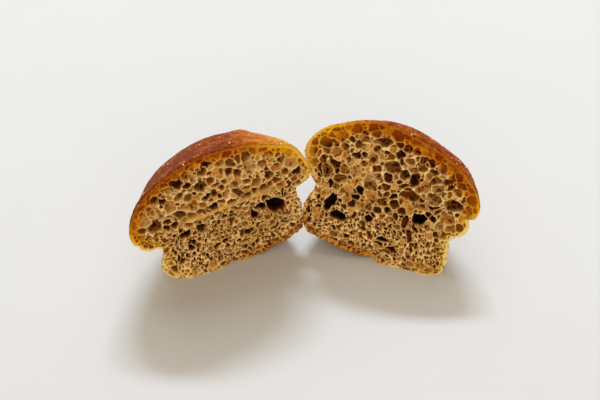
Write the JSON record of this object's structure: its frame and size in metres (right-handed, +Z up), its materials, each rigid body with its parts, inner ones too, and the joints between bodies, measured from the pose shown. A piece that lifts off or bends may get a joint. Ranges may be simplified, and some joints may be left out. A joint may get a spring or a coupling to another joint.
{
  "type": "split bran roll",
  "caption": "Small round bran roll split in half, the halves standing side by side with their open, airy crumb to the front and a browned domed crust behind.",
  "frame": {"origin": "middle of the underside of the box round both halves, on the surface they stand on", "axes": "+X to the right along the row of halves as seen from the front, +Y to the back, +Z up; the cut faces look to -Y"},
  "size_m": [0.1562, 0.0584, 0.0627],
  "materials": {
    "bread": "matte brown crumb with a red-brown baked crust"
  },
  "bodies": {
    "root": {"left_half": "bread", "right_half": "bread"}
  },
  "joints": []
}
